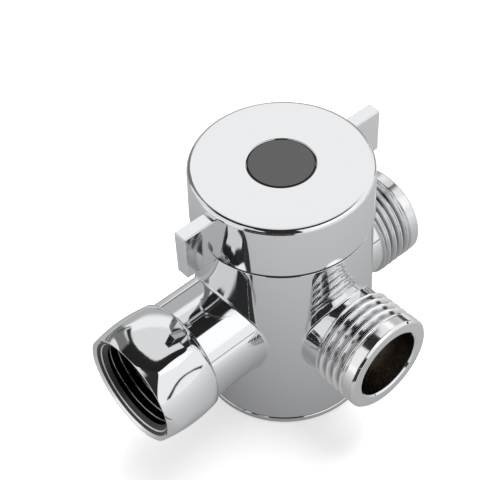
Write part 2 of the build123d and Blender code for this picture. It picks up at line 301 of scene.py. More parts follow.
# Directions round a port, with one on each corner of the window drawn round it
CORNER = np.radians(57)
QUARTER = np.concatenate([np.linspace(0, CORNER, 37)[:-1], np.linspace(CORNER, np.pi / 2, 23)[:-1]])
ROUND_PORT = np.concatenate([QUARTER, [np.pi / 2], np.pi - QUARTER[:0:-1],
                             np.pi + QUARTER, [1.5 * np.pi], TURN - QUARTER[:0:-1], [TURN]])


def barrel_radius(height):
    """Radius of the body's tapered barrel at a height."""
    return BASE_RADIUS + BODY_SLOPE * (height - CAP_RIM)


def chamber_radius(height):
    """Radius of the round chamber in the body, the same at every height."""
    return CHAMBER_RADIUS + 0 * height


def knob_radius(height):
    """Radius of the knob's flared skirt at a height."""
    return KNOB_BOTTOM_RADIUS + KNOB_SLOPE * (height - KNOB_BEVEL_TOP)


def round_wall(radius_at, slope, side=1):
    """A wall round the Z axis as a function of azimuth and height, (r cos a, r sin a, h). Its normal leans by
    the slope of its radius, and points outwards for side 1 and inwards for side -1."""

    def surface(azimuth, height):
        """The wall's points and normals at azimuths and heights."""
        radius = radius_at(height)
        points = np.stack([radius * np.cos(azimuth), radius * np.sin(azimuth), height], -1)
        normals = unit(np.stack([np.cos(azimuth), np.sin(azimuth), -slope + 0 * azimuth], -1))
        return points, side * normals

    return surface


body_wall = round_wall(barrel_radius, BODY_SLOPE)
chamber_wall = round_wall(chamber_radius, 0.0, -1)
knob_wall = round_wall(knob_radius, KNOB_SLOPE)


def window_edge(half_width, low, high):
    """Points on the sides of a window round a port, one per direction. On the upright sides the height grows
    as tan(direction), and on the level ones the distance across shrinks as its inverse."""
    cos, sin = np.cos(ROUND_PORT), np.sin(ROUND_PORT)
    slope = np.abs(sin) / np.maximum(np.abs(cos), TINY)
    limit = np.where(sin >= 0, high, low)
    upright = slope <= np.tan(CORNER) + TINY
    level_across = half_width * np.tan(CORNER) / np.maximum(slope, TINY)
    across = np.where(upright, half_width, level_across) * np.sign(np.round(cos, 9))
    up = np.where(upright, limit * slope / np.tan(CORNER), limit) * np.sign(np.round(sin, 9))
    return np.stack([across, up], -1)


def window_offsets(half_width):
    """Azimuth offsets of the points on a window's level sides."""
    edge = window_edge(half_width, 1.0, 1.0)
    return np.unique(edge[np.isclose(edge[:, 1], 1.0), 0].round(12))


def window_heights(height, low, high):
    """Heights of the points on a window's upright sides."""
    edge = window_edge(1.0, height - low, high - height)
    return height + np.unique(edge[np.isclose(edge[:, 0], 1.0), 1].round(9))


def holed_wall(surface, radius_at, hole, azimuth, height, half_width, low, high, rows=22):
    """A window of a round wall with a round hole where a tube leaves it. In the flat chart of azimuth and
    height, each row lies between the hole's edge and the window's four sides, and the rows lie closer
    together near the hole."""
    across, up = hole * np.cos(ROUND_PORT), hole * np.sin(ROUND_PORT)
    ring = np.stack([np.arcsin(across / radius_at(height + up)), up], -1)
    edge = window_edge(half_width, height - low, high - height)
    share = (np.linspace(0, 1, rows) ** 1.4)[:, None, None]
    chart = ring * (1 - share) + edge * share
    return surface(azimuth + chart[..., 0], height + chart[..., 1])


def plain_wall(surface, azimuths, heights):
    """A stretch of a round wall between two windows, on a plain grid."""
    return surface(*np.meshgrid(azimuths, heights))


def hole_reach(radius_at, height, size):
    """How far out from the Z axis the edge of a round hole of radius s lies on a round wall, for each
    direction t: sqrt(R^2 - (s cos t)^2), with the wall's radius R taken at the height of the point."""
    up, across = size * np.sin(ROUND_PORT), size * np.cos(ROUND_PORT)
    return np.sqrt(radius_at(height + up) ** 2 - across**2)


def tube(radius, reach, side=1):
    """A round tube that leaves the Z axis, (r cos t, r sin t, reach), its normals outwards for side 1."""
    cos, sin = np.cos(ROUND_PORT), np.sin(ROUND_PORT)
    points = np.stack([radius * cos + 0 * reach, radius * sin + 0 * reach, reach], -1)
    return points, side * np.broadcast_to(np.stack([cos, sin, 0 * cos], -1), points.shape)


# Finishes


def linear(text):
    """An sRGB hex colour as the linear RGBA that the shaders take."""
    value = np.array([int(text[i:i + 2], 16) for i in (1, 3, 5)]) / 255
    value = np.where(value <= 0.04045, value / 12.92, ((value + 0.055) / 1.055) ** 2.4)
    return (*value.tolist(), 1.0)


def add(tree, kind, settings=None, links=None):
    """A node of a kind with its own settings, and links from other nodes' outputs into its inputs."""
    node = tree.nodes.new(kind)
    for key, value in (settings or {}).items():
        if key in node.inputs.keys() or isinstance(key, int):
            node.inputs[key].default_value = value
        else:
            setattr(node, key, value)
    for key, source in (links or {}).items():
        tree.links.new(source, node.inputs[key])
    return node


def new_finish(name):
    """A new material with its node tree and its shader."""
    finish = bpy.data.materials.new(name)
    finish.use_nodes = True
    tree = finish.node_tree
    return finish, tree, tree.nodes["Principled BSDF"]


def per_metre(size):
    """How many pattern cells of a size in millimetres fit in a metre, as a texture's scale."""
    return 1 / (size * MM)


def grained(tree, shader, grain, roughness, relief):
    """A noise with cells of a size in millimetres that moves the roughness between two values and raises the
    surface by a relief in millimetres. Returns the object's coordinates."""
    where = add(tree, "ShaderNodeTexCoord").outputs["Object"]
    speck = add(tree, "ShaderNodeTexNoise", {"Scale": per_metre(grain), "Detail": 2.0}, {"Vector": where})
    rough = add(tree, "ShaderNodeMapRange", {"To Min": roughness[0], "To Max": roughness[1]},
                {"Value": speck.outputs["Fac"]})
    bump = add(tree, "ShaderNodeBump", {"Strength": 0.5, "Distance": relief * MM},
               {"Height": speck.outputs["Fac"]})
    tree.links.new(rough.outputs["Result"], shader.inputs["Roughness"])
    tree.links.new(bump.outputs["Normal"], shader.inputs["Normal"])
    return where


def polished_chrome(name):
    """Chrome plate over polished metal: a bright mirror, faintly wavy over a few millimetres where it was
    buffed, with a little more haze in patches."""
    finish, tree, shader = new_finish(name)
    shader.inputs["Base Color"].default_value = linear("#E9EAEC")
    shader.inputs["Metallic"].default_value = 1.0
    where = add(tree, "ShaderNodeTexCoord").outputs["Object"]
    patch = add(tree, "ShaderNodeTexNoise", {"Scale": per_metre(6.0), "Detail": 3.0}, {"Vector": where})
    rough = add(tree, "ShaderNodeMapRange", {"To Min": 0.035, "To Max": 0.065},
                {"Value": patch.outputs["Fac"]})
    tree.links.new(rough.outputs["Result"], shader.inputs["Roughness"])
    ripple = add(tree, "ShaderNodeTexNoise", {"Scale": per_metre(4.0), "Detail": 2.0}, {"Vector": where})
    bump = add(tree, "ShaderNodeBump", {"Strength": 1.0, "Distance": 0.0012 * MM},
               {"Height": ripple.outputs["Fac"]})
    tree.links.new(bump.outputs["Normal"], shader.inputs["Normal"])
    return finish


def plain_finish(name, colour, roughness, metallic=0.0, grain=0.4, relief=0.004):
    """A finish with an even colour and a fine grain that breaks up its gloss."""
    finish, tree, shader = new_finish(name)
    shader.inputs["Base Color"].default_value = linear(colour)
    shader.inputs["Metallic"].default_value = metallic
    grained(tree, shader, grain, (roughness * 0.85, roughness * 1.15), relief)
    return finish


def cut_thread(name, along, inner, outer, shade, roughness):
    """A cut thread, whose colour runs from an inner to an outer one with the distance from the thread's own
    axis, which paints highlights on its crests and shade in its grooves. A fine grain breaks up its gloss."""
    finish, tree, shader = new_finish(name)
    shader.inputs["Metallic"].default_value = 1.0
    where = grained(tree, shader, 0.25, (roughness * 0.8, roughness * 1.2), 0.0008)
    axis = (0, 0, PORT_HEIGHT * MM)
    centred = add(tree, "ShaderNodeVectorMath", {"operation": "SUBTRACT", 1: axis}, {0: where})
    across = add(tree, "ShaderNodeVectorMath", {"operation": "MULTIPLY", 1: along}, {0: centred.outputs[0]})
    far = add(tree, "ShaderNodeVectorMath", {"operation": "LENGTH"}, {0: across.outputs[0]})
    span = {"From Min": ROOT_RADIUS * MM, "From Max": (ROOT_RADIUS + shade) * MM}
    share = add(tree, "ShaderNodeMapRange", span, {"Value": far.outputs["Value"]})
    blend = add(tree, "ShaderNodeMix", {"data_type": "RGBA", 6: linear(inner), 7: linear(outer)},
                {0: share.outputs["Result"]})
    tree.links.new(blend.outputs[2], shader.inputs["Base Color"])
    return finish


# What is left of a place when the direction along each thread's axis is taken out
OFF_X = (0, 1, 1)
OFF_Y = (1, 0, 1)

# Chrome plate on polished brass and zinc: a mirror that takes the whole studio
chrome = polished_chrome("chrome_plate_polished")

# Chrome plate on a cut thread, a little softer than the polished plate: painted highlights on the crests,
# painted shade in the grooves, and the far outlet's thread painted darker than the side one's
far_thread = cut_thread("chrome_far_thread_painted_highlight_and_shade", OFF_X, "#77787B", "#E4E5E6", OUTLET_SHADE, 0.13)
side_thread = cut_thread("chrome_side_thread_painted_highlight_and_shade", OFF_Y, "#B4B5B7", "#FAFAFB", OUTLET_SHADE, 0.13)

# Brass thread cut inside the nut: thin crests of painted highlight inside grooves of painted shade
nut_thread_painted_light = cut_thread("brass_nut_thread_painted_highlight_and_shade", OFF_X, "#CFCFD0", "#1C1A18", NUT_SHADE, 0.2)

# Brass edge where the thread starts, painted pale: a soft bright ring of painted highlight
nut_lead_highlight = plain_finish("brass_lead_painted_highlight", "#F2F1EE", 0.5, 1.0)

# Turned brass face painted nearly black and half glossy as the shade that falls in joints, so that a joint
# shows as a dark line
joint_painted_shade = plain_finish("brass_joint_painted_shade", "#24221F", 0.35, 0.0, 0.3, 0.004)

# Turned brass bore darkened by water: brownish, still fairly glossy and faintly uneven
bore_metal = plain_finish("brass_bore_dark", "#AFA89F", 0.2, 1.0, 0.8, 0.006)

# Moulded ABS disc: dark grey with an even satin gloss, and its edge painted black as the shade in the gap
# round it
disc_plastic = plain_finish("abs_satin_dark_grey", "#474748", 0.5)
disc_edge_painted_shade = plain_finish("abs_edge_painted_shade", "#050505", 0.6)

# Moulded acetal: black and slightly waxy
rotor_plastic = plain_finish("acetal_moulded_black", "#1B1A19", 0.4)

# Turned PTFE: milky white and dull
seat_plastic = plain_finish("ptfe_turned_white", "#D8D8D2", 0.5)

# Moulded rubbers: black, with a soft dull sheen
seal_rubber = plain_finish("nitrile_rubber_black", "#141414", 0.55)
washer_rubber = plain_finish("epdm_rubber_black", "#191919", 0.6)

# Turned brass: yellow, with a fairly sharp gloss
bare_brass = plain_finish("brass_turned", "#B08A4A", 0.25, 1.0)

# Ground stainless steel: pale grey with a broad soft gloss
steel = plain_finish("stainless_steel_ground", "#E0E1E2", 0.55, 1.0)

# Pieces


def placed(name, data):
    """A new object in the scene, at the origin."""
    piece = bpy.data.objects.new(name, data)
    bpy.context.scene.collection.objects.link(piece)
    return piece


def grid_faces(rows, columns):
    """The four corners of each face of a grid, as row-by-row numbers of its points."""
    index = np.arange(rows * columns).reshape(rows, columns)
    return np.stack([index[:-1, :-1], index[1:, :-1], index[1:, 1:], index[:-1, 1:]], -1).reshape(-1, 4)


def mesh_piece(name, patches, body, nodes):
    """One closed mesh from patches of (points, normals) or (points, normals, finish), in chrome where no
    finish is given. Points that fall together become one vertex, a four-sided face that has lost a side
    becomes a triangle, and every face corner keeps its patch's own normal."""
    corners, bends, faces, paint, finishes, start = [], [], [], [], [], 0
    for points, normals, *finish in patches:
        finish = finish[0] if finish else chrome
        if finish not in finishes:
            finishes.append(finish)
        quads = grid_faces(*points.shape[:2])
        flat, bend = points.reshape(-1, 3), normals.reshape(-1, 3)
        facing = np.cross(flat[quads[:, 2]] - flat[quads[:, 0]], flat[quads[:, 3]] - flat[quads[:, 1]])
        if np.sum(facing * bend[quads].mean(1)) < 0:
            quads = quads[:, ::-1]
        corners.append(flat)
        bends.append(bend)
        faces.append(quads + start)
        paint.append(np.full(len(quads), finishes.index(finish)))
        start += len(flat)
    corners, bends, faces, paint = (np.concatenate(part) for part in (corners, bends, faces, paint))
    rounded = (corners / 2e-4).round().astype(np.int64)
    _, first, welded = np.unique(rounded, axis=0, return_index=True, return_inverse=True)
    welded = welded.reshape(-1)[faces]
    kept = welded != np.roll(welded, -1, axis=1)
    whole = kept.sum(1) >= 3
    kept, welded, faces, paint = kept[whole], welded[whole], faces[whole], paint[whole]
    sizes = kept.sum(1)
    mesh = bpy.data.meshes.new(name)
    mesh.vertices.add(len(first))
    mesh.vertices.foreach_set("co", (corners[first] * MM).ravel())
    mesh.loops.add(int(sizes.sum()))
    mesh.loops.foreach_set("vertex_index", welded[kept].astype(np.int32))
    mesh.polygons.add(len(sizes))
    mesh.polygons.foreach_set("loop_start", np.concatenate([[0], np.cumsum(sizes)[:-1]]).astype(np.int32))
    mesh.polygons.foreach_set("material_index", paint.astype(np.int32))
    mesh.update(calc_edges=True)
    mesh.shade_smooth()
    mesh.normals_split_custom_set(unit(bends[faces[kept]]))
    for finish in finishes:
        mesh.materials.append(finish)
    piece = placed(name, mesh)
    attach(piece, body)
    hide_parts(*nodes)


# Body


def thread_depth(phase):
    """How far a thread stands up, from 0 at its root to 1 on its crest, for a phase in turns of the thread: a
    wave of straight flanks with small flats, whose corners are rounded by parabolas."""
    flank = (PITCH - 2 * THREAD_FLAT) / 2
    wave = np.abs((phase % 1.0) - 0.5) * PITCH
    rise = (wave - THREAD_FLAT / 2) / flank
    step = np.clip((rise + THREAD_SOFT) / (2 * THREAD_SOFT), 0, 1)
    rise = np.where(rise < THREAD_SOFT, THREAD_SOFT * step**2, rise)
    step = np.clip((1 + THREAD_SOFT - rise) / (2 * THREAD_SOFT), 0, 1)
    return np.where(rise > 1 - THREAD_SOFT, 1 - THREAD_SOFT * step**2, rise)


def outlet_radius(turns, reach):
    """Radius of a threaded outlet: its neck, then a right-hand helical thread that fades in over the neck's
    end and out at the plain nose."""
    phase = (reach - THREAD_DATUM) / PITCH + turns / TURN
    groove = (1 - thread_depth(phase)) * ease(reach, *THREAD_IN) * (1 - ease(reach, *THREAD_OUT))
    crest = NECK_RADIUS + (CREST_RADIUS - NECK_RADIUS) * ease(reach, *NECK_RISE)
    return crest - (CREST_RADIUS - ROOT_RADIUS) * groove


def port_root(radius, end):
    """The small fillet between the barrel and a port's tube, and the tube's first stretch. The fillet is the
    curve (1-s)^2 A + 2s(1-s) B + s^2 C, where A lies on the barrel one fillet size outside the tube, B where
    the two meet and C on the tube one fillet size out."""
    cos, sin = np.cos(ROUND_PORT), np.sin(ROUND_PORT)

    def on_barrel(size):
        """The edge that a round hole of a size cuts into the barrel."""
        return np.stack([size * cos, size * sin, hole_reach(barrel_radius, PORT_HEIGHT, size)], -1)

    start, middle = on_barrel(radius + ROOT_FILLET), on_barrel(radius)
    finish = middle + (0, 0, ROOT_FILLET)
    share = np.linspace(0, 1, 7)[:, None, None]
    points = (1 - share) ** 2 * start + 2 * share * (1 - share) * middle + share**2 * finish
    along = 2 * (1 - share) * (middle - start) + 2 * share * (finish - middle)
    climb = np.gradient(points[..., 2], ROUND_PORT, axis=1)
    around = np.stack([-points[..., 1], points[..., 0], climb], -1)
    rows = np.linspace(0, 1, 4)[:, None]
    stretch = tube(radius, finish[:, 2] * (1 - rows) + end * rows)
    return [(points, unit(np.cross(around, along))), stretch]


def port_patches(port, tube_radius, tube_end):
    """What every port has: its windows in the barrel and the chamber, its root and its seat pocket."""
    azimuth = PORTS[port]
    place = (azimuth, PORT_HEIGHT, PORT_WINDOW)
    pocket_start = hole_reach(chamber_radius, PORT_HEIGHT, SEAT_RADIUS)
    pocket = tube(SEAT_RADIUS, np.stack([pocket_start, SEAT_BACK + 0 * pocket_start]), -1)
    outer = holed_wall(body_wall, barrel_radius, tube_radius + ROOT_FILLET, *place, WALL_LOW, WALL_HIGH)
    inner = holed_wall(chamber_wall, chamber_radius, SEAT_RADIUS, *place, CHAMBER_FLOOR, CHAMBER_ROOF, 8)
    return [outer, inner, *[faced(patch, azimuth) for patch in [*port_root(tube_radius, tube_end), pocket]]]


def inlet_boss():
    """The plain boss of the inlet with its bore for the tail."""
    boss = [
        (BOSS_RADIUS, BOSS_START, 0),
        (BOSS_RADIUS, BOSS_REACH, BOSS_EDGE),
        (BOSS_BORE, BOSS_REACH, 0.1),
        (BOSS_BORE, TAIL_BACK, 0),
        (WATERWAY_RADIUS, TAIL_BACK, 0.1),
        (WATERWAY_RADIUS, SEAT_BACK, 0.1),
        (SEAT_RADIUS, SEAT_BACK, 0),
    ]
    return faced(turned(boss, ROUND_PORT), PORTS["inlet"])


def outlet_patches(port, thread_finish):
    """A threaded outlet from the end of its neck: the thread, the plated nose and the dark bore."""
    reach = spread((NECK_END, THREAD_END, THREAD_ROWS), (THREAD_END, NOSE_START, 2))
    thread = height_field(outlet_radius, *np.meshgrid(ROUND_PORT, reach))
    nose = [
        (CREST_RADIUS, NOSE_START, 0),
        (CREST_RADIUS, OUTLET_REACH - NOSE_BEVEL, 0.3),
        (CREST_RADIUS - NOSE_BEVEL, OUTLET_REACH, 0.3),
        (BORE_RADIUS + BORE_BEVEL, OUTLET_REACH, 0.15),
        (BORE_RADIUS, OUTLET_REACH - BORE_BEVEL, 0.15),
        (BORE_RADIUS, OUTLET_REACH - PLATED_BORE, 0),
    ]
    bore = [
        (BORE_RADIUS, OUTLET_REACH - PLATED_BORE, 0),
        (BORE_RADIUS, BORE_FLOOR, 0.5),
        (WATERWAY_RADIUS, BORE_FLOOR, 0.3),
        (WATERWAY_RADIUS, SEAT_BACK, 0.1),
        (SEAT_RADIUS, SEAT_BACK, 0),
    ]
    # The thread takes its outlet's painted highlights on the crests and painted shade in the grooves
    patches = [(*thread, thread_finish), turned(nose, ROUND_PORT), (*turned(bore, ROUND_PORT), bore_metal)]
    return [faced(patch, PORTS[port]) for patch in patches]


def body_patches():
    """Every patch of the body casting: barrel, chamber, ports, and the turned faces at the top and the
    bottom, whose points sit where the windows' do."""
    back = np.pi / 2 + window_offsets(PORT_WINDOW)
    patches = [plain_wall(body_wall, back, window_heights(PORT_HEIGHT, WALL_LOW, WALL_HIGH)),
               plain_wall(chamber_wall, back, window_heights(PORT_HEIGHT, CHAMBER_FLOOR, CHAMBER_ROOF)),
               *port_patches("inlet", BOSS_RADIUS, BOSS_START), inlet_boss(),
               *port_patches("far", NECK_RADIUS, NECK_END), *outlet_patches("far", far_thread),
               *port_patches("side", NECK_RADIUS, NECK_END), *outlet_patches("side", side_thread)]
    quarters = [centre + window_offsets(PORT_WINDOW)[:-1] for centre in np.arange(4) * np.pi / 2]
    turns = np.concatenate([*quarters, [1.75 * np.pi]])
    bright_end = (barrel_radius(WALL_HIGH) - BRIGHT_EDGE, WALL_HIGH + BRIGHT_EDGE, 0)
    bright = [(barrel_radius(WALL_HIGH), WALL_HIGH, 0), bright_end]
    top = [
        bright_end,
        (TOP_RADIUS - BODY_EDGE, BODY_TOP, 0.1),
        (LIP_RADIUS, BODY_TOP, 0.1),
        (LIP_RADIUS, CHAMBER_ROOF, 0),
        (CHAMBER_RADIUS, CHAMBER_ROOF, 0),
    ]
    bottom = [
        (CHAMBER_RADIUS, CHAMBER_FLOOR, 0),
        (WELL_RADIUS, CHAMBER_FLOOR, 0),
        (WELL_RADIUS, CAP_RIM, 0),
        (BASE_RADIUS - JOINT_LINE, CAP_RIM, 0.05),
        (barrel_radius(WALL_LOW), WALL_LOW, 0),
    ]
    # The top's edge and the faces under the knob take the joint's painted shade
    return [*patches, turned(bright, turns), (*turned(top, turns, 2), joint_painted_shade), turned(bottom, turns, 2)]


# Base cap


def cap_half():
    """Half of the cap's flat bottom with a blind spanner hole. In it, straight lines run from the hole's edge
    out to the rim circle or to the line that parts the halves, at s = -d sin t + sqrt(R^2 - d^2 cos^2 t) or
    s = -d / sin t from the hole's centre, whichever comes first. Returned with the rim points' azimuths."""
    corner = np.arctan2(SPANNER_REACH, CAP_FLAT)
    angles = spread((-corner, np.pi + corner, 120), (np.pi + corner, TURN - corner, 48))
    sin, cos = np.sin(angles), np.cos(angles)
    to_rim = -SPANNER_REACH * sin + np.sqrt(CAP_FLAT**2 - (SPANNER_REACH * cos) ** 2)
    to_line = np.where(sin < -TINY, -SPANNER_REACH / np.minimum(sin, -TINY), np.inf)
    way = np.stack([cos, sin, 0 * angles], -1)
    share = np.linspace(0, 1, 12)[:, None, None]
    ends = np.array([0, 1])[:, None, None]
    centre = np.array([0, SPANNER_REACH, 0])
    deep = np.array([0, 0, SPANNER_DEPTH])
    face = centre + way * (SPANNER_HOLE * (1 - share) + np.minimum(to_rim, to_line)[:, None] * share)
    hole = centre + way * SPANNER_HOLE + deep * ends
    floor = centre + way * SPANNER_HOLE * (1 - ends) + deep
    down = np.array([0.0, 0, -1])
    half = [(face, np.broadcast_to(down, face.shape)), (hole, np.broadcast_to(-way, hole.shape)),
            (floor, np.broadcast_to(down, floor.shape))]
    rim = face[-1, to_rim <= to_line + TINY]
    turns = np.arctan2(rim[:, 1], rim[:, 0]).round(12)
    return half, np.sort(np.where(turns < 0, turns + TURN, turns))


def cap_patches():
    """The turned base cap: two halves of its bottom, its rim, and the groove and plug above it."""
    half, turns = cap_half()
    turns = np.concatenate([turns, turns[1:] + np.pi])
    groove_middle = (BASE_RADIUS - JOINT_LINE / 2, CAP_RIM - JOINT_LINE / 2, 0)
    rim = [
        (CAP_FLAT, 0, 0),
        (BASE_RADIUS - CAP_EDGE, 0, 0.1),
        (BASE_RADIUS, CAP_EDGE, 0.1),
        (BASE_RADIUS, CAP_RIM - JOINT_LINE, 0.05),
        groove_middle,
    ]
    inner = [
        groove_middle,
        (BASE_RADIUS - JOINT_LINE, CAP_RIM, 0.05),
        (PLUG_RADIUS, CAP_RIM, 0),
        (PLUG_RADIUS, PLUG_TOP, 0),
        (0, PLUG_TOP, 0),
    ]
    other_half = [(points * (-1, -1, 1), normals * (-1, -1, 1)) for points, normals in half]
    # The groove's upper half and the plug above it take the joint's painted shade
    return [*half, *other_half, turned(rim, turns), (*turned(inner, turns), joint_painted_shade)]


# Nut and washer


def nut_profile():
    """The nut's turned outline and normals in steps of about NUT_STEP: a large round at the back, the barrel,
    the round to the rim and the rim's small edge."""
    sweep = np.linspace(np.arccos(1 - NUT_BACK_STEP / NUT_SHOULDER), 0, 15)[:-1]
    lean = np.stack([np.cos(sweep), -np.sin(sweep)], -1)
    shoulder = lean * NUT_SHOULDER + (NUT_RADIUS - NUT_SHOULDER, NUT_SHOULDER_END)
    front = [
        (NUT_RADIUS, NUT_SHOULDER_END, 0),
        (NUT_RADIUS, NUT_RIM_START, NUT_RIM_ROUND),
        (NUT_RIM, NUT_REACH, NUT_RIM_EDGE),
        (NUT_RIM - 0.15, NUT_REACH, 0),
    ]
    front_points, front_normals = outline(front, 14)
    points, normals = np.concatenate([shoulder, front_points]), np.concatenate([lean, front_normals])
    keep = np.concatenate([[True], np.linalg.norm(np.diff(points, axis=0), axis=1) > 1e-6])
    points, normals = points[keep], normals[keep]
    spans = np.linalg.norm(np.diff(points, axis=0), axis=1)
    counts = np.maximum(1, (spans / NUT_STEP).astype(int))
    shares = [start + np.arange(count) / count for start, count in enumerate(counts)]
    share = np.concatenate([*shares, [len(points) - 1.0]])
    place = np.arange(len(points))
    profile = np.stack([np.interp(share, place, points[:, i]) for i in (0, 1)], 1)
    return profile, unit(np.stack([np.interp(share, place, normals[:, i]) for i in (0, 1)], 1))


def nut_outside():
    """The turned outside of the nut with six crowned flats. In a direction t, a flat's ball of radius R,
    whose centre lies a behind the axis, reaches r = sqrt(R^2 - x^2 - a^2 sin^2 t) - a cos t at a distance x
    from the nut's middle. The surface takes the softened smallest of the six balls and the turned outline,
    -k log(sum exp(-r / k)). Its normal blends theirs by the same weights exp(-r / k)."""
    profile, bend = nut_profile()
    turns = full_turn(NUT_AROUND)
    height = profile[:, 1]
    behind = NUT_CROWN - NUT_FLATS / 2
    along = height[:, None, None] - (NUT_BACK + NUT_REACH) / 2
    middle = np.pi / 2 - NUT_TURN + np.arange(6) * np.pi / 3
    off = turns[None, :, None] - middle
    inside = np.maximum(NUT_CROWN**2 - along**2 - (behind * np.sin(off)) ** 2, 0)
    near_side = np.cos(off) > 0.2
    balls = np.where(near_side, np.sqrt(inside) - behind * np.cos(off), OUT_OF_REACH)
    barrel = profile[:, 0, None, None] + 0 * turns[None, :, None]
    reaches = np.concatenate([balls, barrel], -1)
    off_back = ease(height, NUT_BACK, NUT_BACK + NUT_SOFT_REACH)
    off_front = 1 - ease(height, NUT_REACH - NUT_SOFT_REACH, NUT_REACH)
    soft = (NUT_SOFT_ENDS + NUT_SOFT_MIDDLE * off_back * off_front)[:, None, None]
    least = reaches.min(-1, keepdims=True)
    weight = np.exp(-(reaches - least) / soft)
    radius = least[..., 0] - soft[..., 0] * np.log(weight.sum(-1))
    weight /= weight.sum(-1, keepdims=True)
    up = np.array([0, 0, 1])
    out = np.stack([np.cos(turns), np.sin(turns), 0 * turns], -1)
    towards = np.stack([np.cos(middle), np.sin(middle), 0 * middle], -1)
    from_centre = radius[..., None, None] * out[None, :, None] + behind * towards + along[..., None] * up
    of_barrel = bend[:, None, :1] * out[None] + bend[:, None, 1:] * up
    bends = np.concatenate([from_centre / NUT_CROWN, of_barrel[..., None, :]], -2)
    leaning = np.maximum(np.sum(bends * out[None, :, None], -1, keepdims=True), 1e-3)
    surface = radius[..., None] * out[None] + profile[:, 1, None, None] * up
    return surface, unit(np.sum(weight[..., None] * bends / leaning, -2))


def flat_ring(edge, radius, facing):
    """The flat ring between an edge in a plane across the axis and a circle of a smaller radius."""
    inner = np.concatenate([unit(edge[:, :2]) * radius, edge[:, 2:]], -1)
    points = np.stack([edge, inner])
    return points, np.broadcast_to((0, 0, facing), points.shape) * 1.0


def nut_thread_radius(turn, reach):
    """Radius of the nut's thread: grooves cut outwards from its bore on a right-hand helix, which fade at
    both ends."""
    phase = (reach - NUT_THREAD_END) / PITCH + turn / TURN
    start = ease(reach, RELIEF_FRONT, RELIEF_FRONT + 0.5)
    end = 1 - ease(reach, NUT_THREAD_END - 0.4, NUT_THREAD_END)
    return ROOT_RADIUS + NUT_GROOVE * (1 - thread_depth(phase)) * start * end


def nut_patches():
    """The whole swivel nut: its outside, the mouth's rings of painted highlight and painted shade, the thread
    and the relief behind it."""
    turns = full_turn(NUT_AROUND)
    outside = nut_outside()
    thread_reach = np.linspace(RELIEF_FRONT, NUT_THREAD_END, 64)
    thread, thread_normals = height_field(nut_thread_radius, *np.meshgrid(turns, thread_reach))
    mouth_middle = ((NUT_MOUTH + NUT_LEAD) / 2, (NUT_REACH + NUT_MOUTH_FLOOR) / 2, 0)
    mouth_floor = (NUT_LEAD, NUT_MOUTH_FLOOR, 0)
    lead = (NUT_LEAD - NUT_LEAD_EDGE, NUT_MOUTH_FLOOR - NUT_LEAD_EDGE, 0)
    relief = [
        (ROOT_RADIUS, RELIEF_FRONT, 0),
        (RELIEF_RADIUS, RELIEF_FRONT, 0),
        (RELIEF_RADIUS, RELIEF_BACK, 0),
        (NUT_HOLE, RELIEF_BACK, 0),
        (NUT_HOLE, NUT_BACK, 0),
        (NUT_BACK_RING, NUT_BACK, 0),
    ]
    return [
        outside,
        flat_ring(outside[0][-1], NUT_FACE, 1),
        turned([(NUT_FACE, NUT_REACH, 0), (NUT_MOUTH, NUT_REACH, 0.06), mouth_middle], turns),
        # The mouth's inner ring takes painted shade
        (*turned([mouth_middle, mouth_floor], turns), joint_painted_shade),
        # The lead ring is painted pale as a highlight
        (*turned([mouth_floor, lead], turns), nut_lead_highlight),
        # The ring before the thread takes painted shade
        (*turned([lead, (ROOT_RADIUS, NUT_THREAD_END, 0)], turns), joint_painted_shade),
        # The nut's thread: painted highlights on its crests and painted shade in its grooves
        (thread, -thread_normals, nut_thread_painted_light),
        turned(relief, turns),
        flat_ring(outside[0][0], NUT_BACK_RING, -1),
    ]


def washer_patches():
    """The flat rubber washer, with small rounds on its outer edges and on the inner one that shows."""
    ring = [
        (WASHER_HOLE, WASHER_BACK, 0),
        (WASHER_RADIUS, WASHER_BACK, 0.1),
        (WASHER_RADIUS, WASHER_FRONT, 0.1),
        (WASHER_HOLE, WASHER_FRONT, 0.1),
        (WASHER_HOLE, WASHER_BACK, 0),
    ]
    return [(*turned(ring, full_turn(120)), washer_rubber)]


# Knob and disc


def fin(direction):
    """One grip fin: a rounded rectangle carried outwards along X, drawn in at its end by a small round, and
    closed to its middle at both ends."""
    middle = (FIN_TOP + KNOB_BOTTOM) / 2
    half_thick, half_tall = FIN_THICKNESS / 2 - FIN_EDGE, (FIN_TOP - KNOB_BOTTOM) / 2 - FIN_EDGE
    corner = np.repeat(np.array([[1, 1], [-1, 1], [-1, -1], [1, -1]], float), 9, axis=0)
    bend = np.concatenate([np.linspace(0, np.pi / 2, 9) + quarter * np.pi / 2 for quarter in range(4)])
    corner, bend = np.concatenate([corner, corner[:1]]), np.concatenate([bend, bend[:1]])
    outward = np.stack([np.cos(bend), np.sin(bend)], -1)
    rise = np.linspace(0, np.pi / 2, 6)
    inset = np.concatenate([[0], FIN_EDGE * (1 - np.cos(rise))])[:, None, None]
    reach = np.concatenate([[FIN_ROOT], FIN_REACH - FIN_EDGE + FIN_EDGE * np.sin(rise)])[:, None, None]
    lean = np.concatenate([[0], rise])[:, None, None]
    ring = corner * (half_thick, half_tall) + outward * (FIN_EDGE - inset)
    column = (*ring.shape[:2], 1)
    points = np.concatenate([np.broadcast_to(reach, column), ring], -1)
    normals = np.concatenate([np.broadcast_to(np.sin(lean), column), outward * np.cos(lean)], -1)
    shrink = np.array([1, 0.5, 0])[:, None, None]
    patches = [(points, normals)]
    for row, sign in ((-1, 1), (0, -1)):
        face = points[row] * np.concatenate([np.ones_like(shrink), shrink, shrink], -1)
        patches.append((face, np.broadcast_to((sign, 0, 0), face.shape) * 1.0))
    mirror = (direction, 1, 1)
    return [(points * mirror + (0, 0, middle), normals * mirror) for points, normals in patches]


